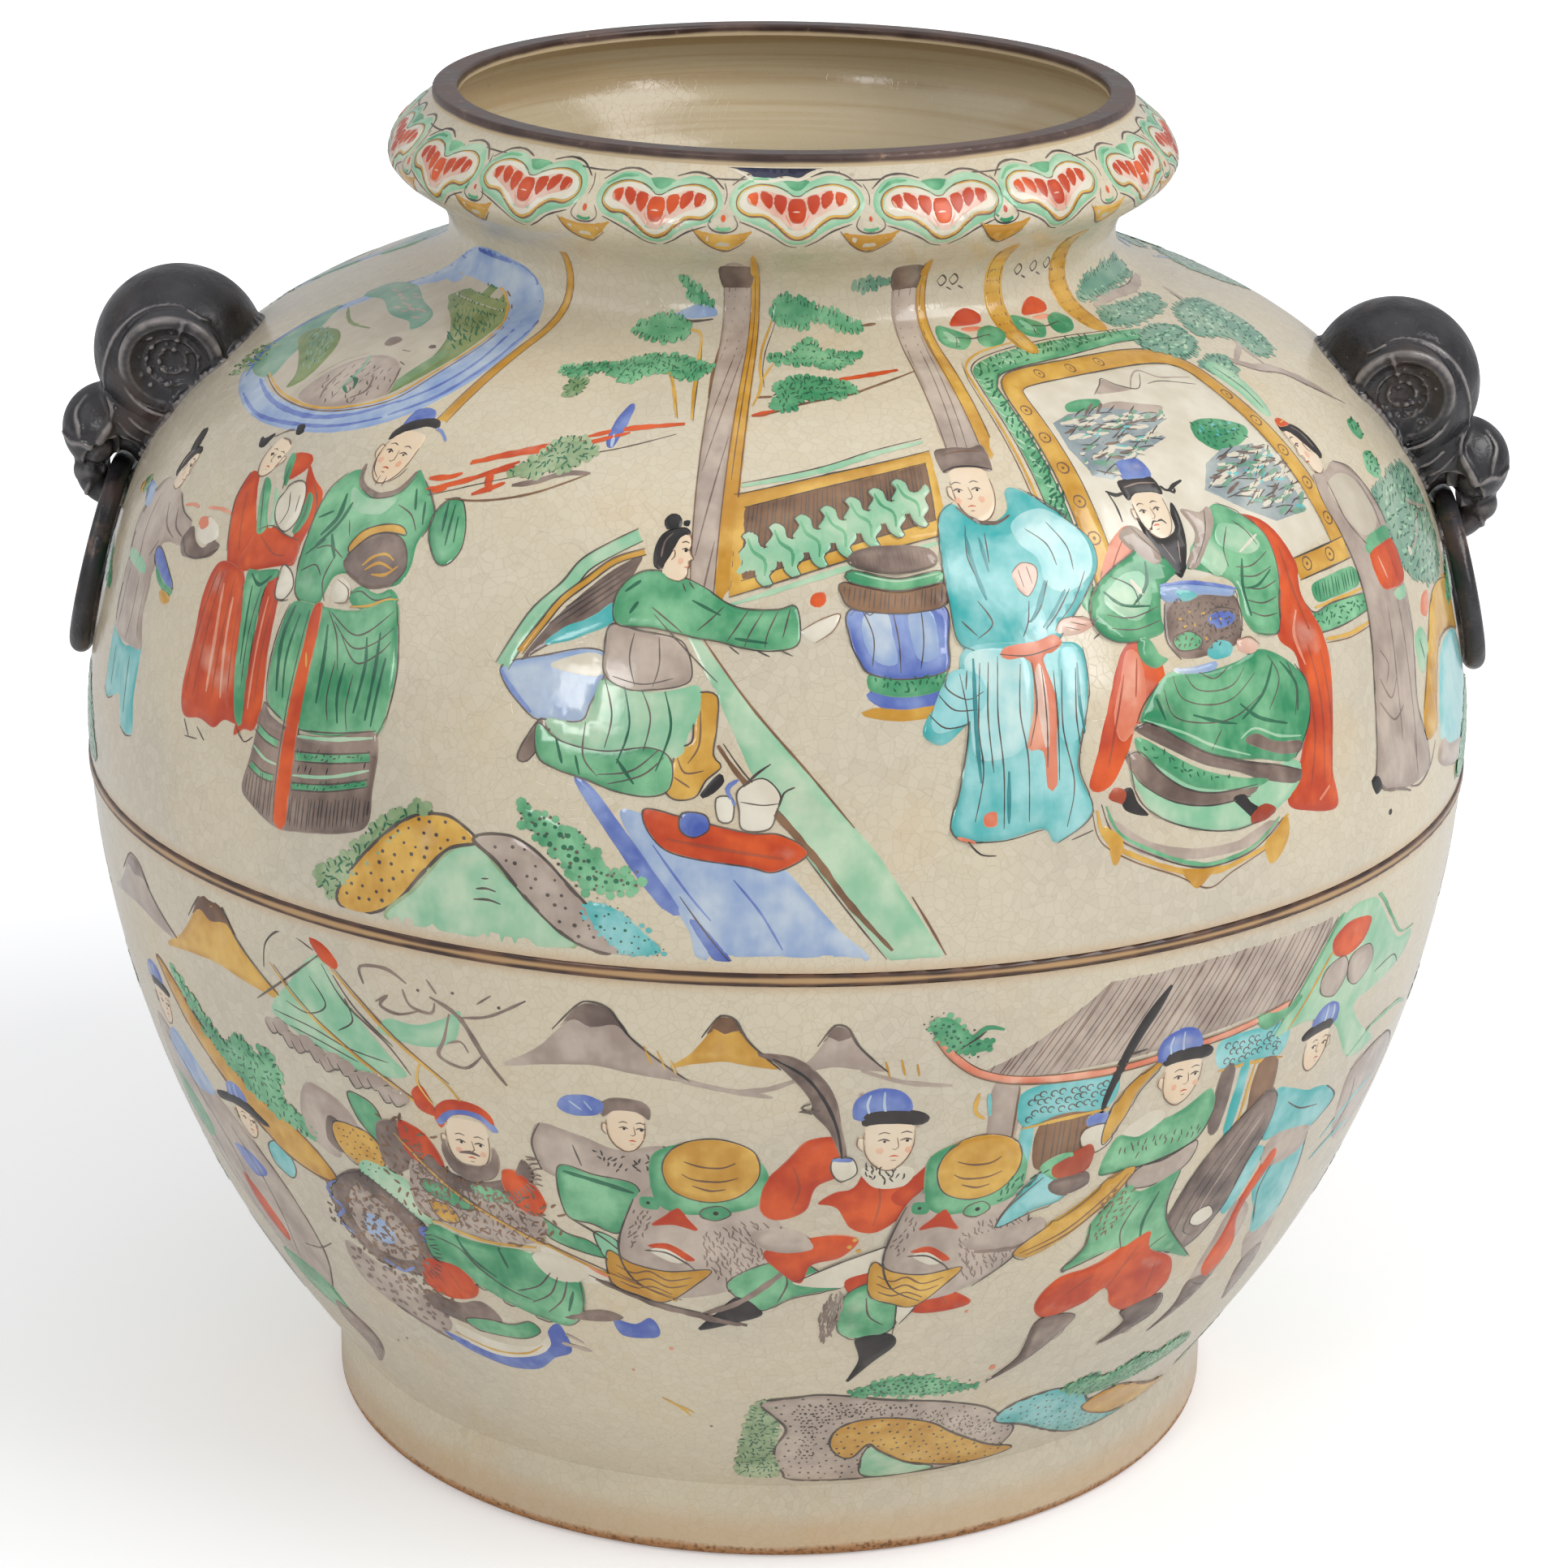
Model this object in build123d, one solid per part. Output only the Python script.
"""Decorated stoneware jar with two beast-mask lugs that hold loose rings.

Millimetres. The origin is the centre of the foot on the ground, +Z is up, and the lugs lie on the X axis.
"""
import os
from collections import namedtuple
from math import asin, cos, degrees, radians, sin, sqrt

from build123d import *

# Heights of the sections, from the ground up
foot_height = 19.4
lower_rise = 148.9
shoulder_rise = 112.7
neck_rise = 41.8
lip_thickness = 2.6

# Outer radii
foot_radius = 108.8
waist_radius = 165.0
neck_seam_radius = 93.0
neck_radius = 77.8
collar_radius = 91.7
lip_radius = 81.3

# Walls and floor
wall = 7.0
foot_wall = 11.0
foot_recess = 11.0
floor_thickness = 12.0
foot_edge_round = 3.0
foot_inner_bevel = 2.0
lip_width = 5.9
lip_edge_round = 0.8

# Fillet band over the seam of the two halves
band_height = 3.2
band_depth = 1.5
band_proud = 0.5
band_edge_round = 0.7

# Mask lug, on a wall that it follows, with a thin bed of slip behind it
slip_gap = 0.05
skull_radius = 20.3
skull_stand_out = 8.4
snout_radius = 11.0
snout_reach = 17.6
snout_drop = 19.1
cheek_back_radius = 16.0
cheek_front_radius = 10.0
ear_radius = 12.4
ear_rim = 1.3
ear_depth = 3.4
ear_seat = 13.2
ear_tilt = 14.0
ear_rise = 1.6
trunk_thickness = 7.8
trunk_width = 10.4
trunk_bend = 5.2

# Ring and its pocket behind the trunk
ring_bar = 5.0
ring_gap = 0.3
ring_side_gap = 1.1
ring_head_room = 1.2
ring_swing_room = 8.6
hinge_drop = 8.7
left_ring_radius = 22.6
right_ring_radius = 20.4

# The two lugs were set by hand: how far each stands above or below, and in or out of, the mean
lug_lift = 2.3
lug_reach = 1.6

# Outline points, each a share of the rise and a share of the change of radius between the two ends
lower_body_shares = ((0.08, 0.145), (0.2, 0.355), (0.44, 0.672), (0.7, 0.89))
shoulder_shares = ((0.14, 0.002), (0.32, 0.05), (0.5, 0.125), (0.68, 0.262), (0.83, 0.475), (0.93, 0.73))
root_shares = ((0.3, 0.64), (0.64, 0.94))
collar_low_shares = ((0.28, 0.1), (0.55, 0.47))
collar_high_shares = ((0.42, 0.2), (0.74, 0.59))
neck_height_share = 0.3
collar_height_share = 0.7
skull_height_share = 0.797
cheek_back_share = (0.13, 0.42)
cheek_front_share = (0.81, 0.95)
inset_shares = (0.06, 0.2, 0.4, 0.6, 0.8, 1.0)
hollow_shares = (0.0, 0.15, 0.35, 0.55, 0.75, 0.9)
floor_share = 0.9
ear_rib_shares = (0.34, 0.64)
ear_rib_size_share = 0.4

# Rounds of the searches for a height on a curve and for the ring's lean
halvings = 24
hang_steps = 8

# Room that the ring's bar takes beside wall and trunk, and how far the trunk's axis runs under the hinge
ring_room = ring_bar / 2 + ring_side_gap
trunk_drop = ring_bar / 2 + ring_gap + trunk_thickness / 2

# Heights above the ground
seam_height = foot_height + lower_rise
neck_seam_height = seam_height + shoulder_rise
rim_height = neck_seam_height + neck_rise + lip_thickness

Side = namedtuple("Side", "name mirrored lift reach ring_radius")
lug_sides = (
    Side(name="left", mirrored=True, lift=lug_lift, reach=-lug_reach, ring_radius=left_ring_radius),
    Side(name="right", mirrored=False, lift=-lug_lift, reach=lug_reach, ring_radius=right_ring_radius),
)


def at(radius, height, across=0.0):
    """A point at this distance along X and this height."""
    return Vector(radius, across, height)


def between(start, end, shares):
    """Outline points from shares of the rise and of the change of radius between two ends."""
    return [at(start.X + (end.X - start.X) * out, start.Z + (end.Z - start.Z) * up) for up, out in shares]


def turned(*edges):
    """The solid of revolution of a closed outline about the jar's axis."""
    return revolve(Face(Wire(edges)), Axis.Z)


def inset_points(edge, shares, depth):
    """Points that lie this deep under an outline edge that is drawn upward."""
    points = []
    for share in shares:
        place = edge @ share
        along = edge % share
        points.append(at(place.X - along.Z * depth, place.Z + along.X * depth))
    return points


def radius_at(edge, height):
    """The radius of an upward outline edge at a height, by halving."""
    low, high = 0.0, 1.0
    for _ in range(halvings):
        middle = (low + high) / 2
        if (edge @ middle).Z < height:
            low = middle
        else:
            high = middle
    return (edge @ low).X


# Outline curves of the outside of the jar, drawn upward
foot_top = at(foot_radius, foot_height)
waist_point = at(waist_radius, seam_height)
neck_seam = at(neck_seam_radius, neck_seam_height)
throat_point = at(neck_radius, neck_seam_height + neck_rise * neck_height_share)
collar_point = at(collar_radius, neck_seam_height + neck_rise * collar_height_share)
collar_top = at(lip_radius, neck_seam_height + neck_rise)

lower_curve = Spline(foot_top, *between(foot_top, waist_point, lower_body_shares), waist_point)
shoulder_curve = Spline(waist_point, *between(waist_point, neck_seam, shoulder_shares), neck_seam)
neck_curve = Spline(
    neck_seam,
    *between(neck_seam, throat_point, root_shares),
    throat_point,
    *between(throat_point, collar_point, collar_low_shares),
    collar_point,
    *between(collar_point, collar_top, collar_high_shares),
    collar_top,
)


def make_foot_ring():
    """The foot: an upright ring with a rounded, bare underside."""
    inner = foot_radius - foot_wall
    ring = turned(
        Line(at(inner, 0), at(foot_radius, 0)),
        Line(at(foot_radius, 0), foot_top),
        Line(foot_top, at(inner, foot_height)),
        Line(at(inner, foot_height), at(inner, 0)),
    )
    ring = fillet(ring.edges().group_by(Axis.Z)[0].sort_by(SortBy.RADIUS)[-1], foot_edge_round)
    return chamfer(ring.edges().group_by(Axis.Z)[0].sort_by(SortBy.RADIUS)[0], foot_inner_bevel)


def make_lower_body():
    """The lower half with the floor, which fills the top of the foot ring."""
    floor_top = foot_recess + floor_thickness
    outside = turned(
        Line(at(0, foot_recess), at(foot_radius - foot_wall, foot_recess)),
        Line(at(foot_radius - foot_wall, foot_recess), at(foot_radius - foot_wall, foot_height)),
        Line(at(foot_radius - foot_wall, foot_height), foot_top),
        lower_curve,
        Line(waist_point, at(0, seam_height)),
        Line(at(0, seam_height), at(0, foot_recess)),
    )
    wall_points = inset_points(lower_curve, inset_shares, wall)
    wall_points = [point for point in wall_points if point.Z > floor_top + wall]
    wall_points[-1] = at(waist_radius - wall, seam_height)
    floor_edge = at((foot_radius - wall) * floor_share, floor_top)
    inside = turned(
        Line(at(0, floor_top), floor_edge),
        Spline(floor_edge, *wall_points),
        Line(wall_points[-1], at(0, seam_height)),
        Line(at(0, seam_height), at(0, floor_top)),
    )
    return outside - inside


def make_shoulder():
    """The upper half, from the waist seam to the foot of the neck."""
    inner = inset_points(shoulder_curve, hollow_shares, wall)
    inner[0] = at(waist_radius - wall, seam_height)
    inner_top = at(neck_seam_radius - wall * 2, neck_seam_height)
    return turned(
        shoulder_curve,
        Line(neck_seam, inner_top),
        Spline(*reversed(inner + [inner_top])),
        Line(inner[0], waist_point),
    )


def make_neck_collar():
    """The short neck and the hollow, bulging collar above it."""
    inner_root = at(neck_seam_radius - wall * 2, neck_seam_height)
    inner_throat = at(throat_point.X - wall, throat_point.Z)
    inner_collar = at(collar_point.X - wall * 1.5, collar_point.Z)
    inner_lip = at(lip_radius - lip_width, collar_top.Z)
    return turned(
        neck_curve,
        Line(collar_top, inner_lip),
        Spline(inner_lip, inner_collar, inner_throat, inner_root),
        Line(inner_root, neck_seam),
    )


def make_rim_lip():
    """The flat dressed lip on top of the collar."""
    ring = turned(
        Line(collar_top, at(lip_radius, rim_height)),
        Line(at(lip_radius, rim_height), at(lip_radius - lip_width, rim_height)),
        Line(at(lip_radius - lip_width, rim_height), at(lip_radius - lip_width, collar_top.Z)),
        Line(at(lip_radius - lip_width, collar_top.Z), collar_top),
    )
    return fillet(ring.edges().group_by(Axis.Z)[-1], lip_edge_round)


def make_waist_band():
    """The rounded fillet that covers the seam, let into both halves."""
    outer = waist_radius + band_proud
    inner = waist_radius + band_proud - band_depth
    ring = turned(
        Line(at(inner, seam_height - band_height / 2), at(outer, seam_height - band_height / 2)),
        Line(at(outer, seam_height - band_height / 2), at(outer, seam_height + band_height / 2)),
        Line(at(outer, seam_height + band_height / 2), at(inner, seam_height + band_height / 2)),
        Line(at(inner, seam_height + band_height / 2), at(inner, seam_height - band_height / 2)),
    )
    outer_edges = ring.edges().filter_by(GeomType.CIRCLE).sort_by(SortBy.RADIUS)[-2:]
    return fillet(outer_edges, band_edge_round)


def make_ear(skull_centre, facing):
    """A dished round ear with a raised rim and ribs, its seat plane on the skull's side, and its socket."""
    seat = skull_centre + Vector(0, facing * ear_seat, ear_rise)
    outward = Vector(0, facing * cos(radians(ear_tilt)), -sin(radians(ear_tilt)))
    place = Plane(origin=seat, x_dir=(1, 0, 0), z_dir=outward)
    rim_top = ear_depth + ear_rim
    disc = Pos(0, 0, rim_top / 2) * Cylinder(ear_radius, rim_top)
    disc = fillet(disc.edges().group_by(Axis.Z)[-1], ear_rim * 0.9)
    dish_radius = ((ear_radius - ear_rim * 2) ** 2 + ear_depth**2) / (2 * ear_depth)
    disc -= Pos(0, 0, rim_top - ear_depth + dish_radius) * Sphere(dish_radius)
    for share in ear_rib_shares:
        reach = (ear_radius - ear_rim * 2) * share
        bed = rim_top - ear_depth + dish_radius - sqrt(dish_radius**2 - reach**2)
        disc += Pos(0, 0, bed) * Torus(reach, ear_rim * ear_rib_size_share)
    socket = Pos(0, 0, skull_radius / 2) * Cylinder(ear_radius, skull_radius)
    return place * disc, place * socket


def make_trunk(hinge, snout_centre):
    """The trunk: down from the snout, then a tight bend back through the ring to the wall."""
    front = hinge.X + ring_room + trunk_thickness / 2
    level = hinge.Z - trunk_drop
    wall_end = radius_at(shoulder_curve, level) - wall / 2
    path = Wire(
        [
            Line(at(front, snout_centre.Z), at(front, level + trunk_bend)),
            TangentArc(at(front, level + trunk_bend), at(front - trunk_bend, level), tangent=(0, 0, -1)),
            Line(at(front - trunk_bend, level), at(wall_end, level)),
        ]
    )
    section = Plane(origin=path @ 0, x_dir=(1, 0, 0), z_dir=(0, 0, -1)) * Ellipse(
        trunk_thickness / 2, trunk_width / 2
    )
    return sweep(section, path)


def make_ring(hinge, ring_radius):
    """The loose ring, hung from the hinge so that its lowest point just clears the wall."""
    stand = ring_bar / 2 + ring_gap * 2
    low_height = hinge.Z - ring_radius * 2
    for _ in range(hang_steps):
        lean = (radius_at(shoulder_curve, low_height) + stand - hinge.X) / (ring_radius * 2)
        low_height = hinge.Z - ring_radius * 2 * cos(asin(lean))
    across = Vector(lean, 0, -cos(asin(lean)))
    centre = hinge + across * ring_radius
    place = Plane(origin=centre, x_dir=(0, 1, 0), z_dir=across.cross(Vector(0, 1, 0)))
    return place * Torus(ring_radius, ring_bar / 2), degrees(asin(lean))


def place_lug(side):
    """Centres of skull and snout, and the hinge, with ring and trunk clear of the wall."""
    skull_height = seam_height + shoulder_rise * skull_height_share
    hinge_height = skull_height + side.lift - snout_drop - hinge_drop
    beside_wall = radius_at(shoulder_curve, hinge_height) + ring_room
    behind_trunk = radius_at(shoulder_curve, hinge_height - trunk_drop) + trunk_thickness / 2 - ring_room
    hinge = at(max(beside_wall, behind_trunk), hinge_height)
    above_wall = radius_at(shoulder_curve, skull_height) + skull_stand_out + side.reach
    above_hinge = hinge.X + ring_bar / 2 - snout_reach
    skull_centre = at(max(above_wall, above_hinge), skull_height + side.lift)
    snout_centre = skull_centre + Vector(snout_reach, 0, -snout_drop)
    return skull_centre, snout_centre, hinge


def make_lug(side, jar_wall):
    """The pieces of one mask lug on the +X side, by name."""
    skull_centre, snout_centre, hinge = place_lug(side)
    skull = Pos(*skull_centre) * Sphere(skull_radius)
    cheek_back, cheek_front = (
        skull_centre + Vector(snout_reach * out_share, 0, -snout_drop * drop_share)
        for out_share, drop_share in (cheek_back_share, cheek_front_share)
    )
    cheek_axis = cheek_front - cheek_back
    cheeks = Plane(origin=(cheek_back + cheek_front) / 2, z_dir=cheek_axis) * Cone(
        cheek_back_radius, cheek_front_radius, cheek_axis.length
    )
    ceiling = hinge.Z + ring_bar / 2 + ring_head_room
    block = skull_radius * 4
    pocket = Pos(hinge.X + ring_room - block / 2, 0, ceiling - block / 2) * Box(block, block, block)
    for facing in (-1, 1):
        beside = Pos(hinge.X, facing * (trunk_width + block / 2) / 2, hinge.Z) * Rot(90, 0, 0)
        pocket += beside * Cylinder(ring_swing_room, block / 2)
    head = skull + cheeks - pocket - jar_wall
    behind = Pos(hinge.X - snout_radius, 0, snout_centre.Z)
    back = behind * Box(snout_radius * 2, snout_radius * 2, snout_radius * 2)
    snout = Pos(*snout_centre) * Sphere(snout_radius) - back - pocket - head
    pieces = {}
    for ear_name, facing in (("ear_front", -1), ("ear_back", 1)):
        ear, socket = make_ear(skull_centre, facing)
        head -= socket
        pieces[ear_name] = ear - jar_wall
    pieces["head"] = head
    pieces["snout"] = snout
    pieces["trunk"] = make_trunk(hinge, snout_centre) - snout - head - jar_wall
    pieces["ring"], lean = make_ring(hinge, side.ring_radius)
    print(side.name, "hinge", hinge, "rest lean", round(lean, 2))
    return pieces


def main():
    os.makedirs("parts", exist_ok=True)
    waist_band = make_waist_band()
    shoulder = make_shoulder() - waist_band
    nodes = {
        "foot_ring": make_foot_ring(),
        "lower_body": make_lower_body() - waist_band,
        "waist_band": waist_band,
        "shoulder": shoulder,
        "neck_collar": make_neck_collar(),
        "rim_lip": make_rim_lip(),
    }
    luting_curve = Pos(slip_gap, 0, 0) * shoulder_curve
    jar_wall = turned(
        luting_curve,
        Line(luting_curve @ 1, at(0, neck_seam_height)),
        Line(at(0, neck_seam_height), at(0, seam_height)),
        Line(at(0, seam_height), luting_curve @ 0),
    )
    for side in lug_sides:
        for piece_name, piece in make_lug(side, jar_wall).items():
            nodes[f"{side.name}_{piece_name}"] = mirror(piece, Plane.YZ) if side.mirrored else piece
    for node_name, solid in nodes.items():
        solid.label = node_name
        export_step(solid, f"parts/{node_name}.step")


main()
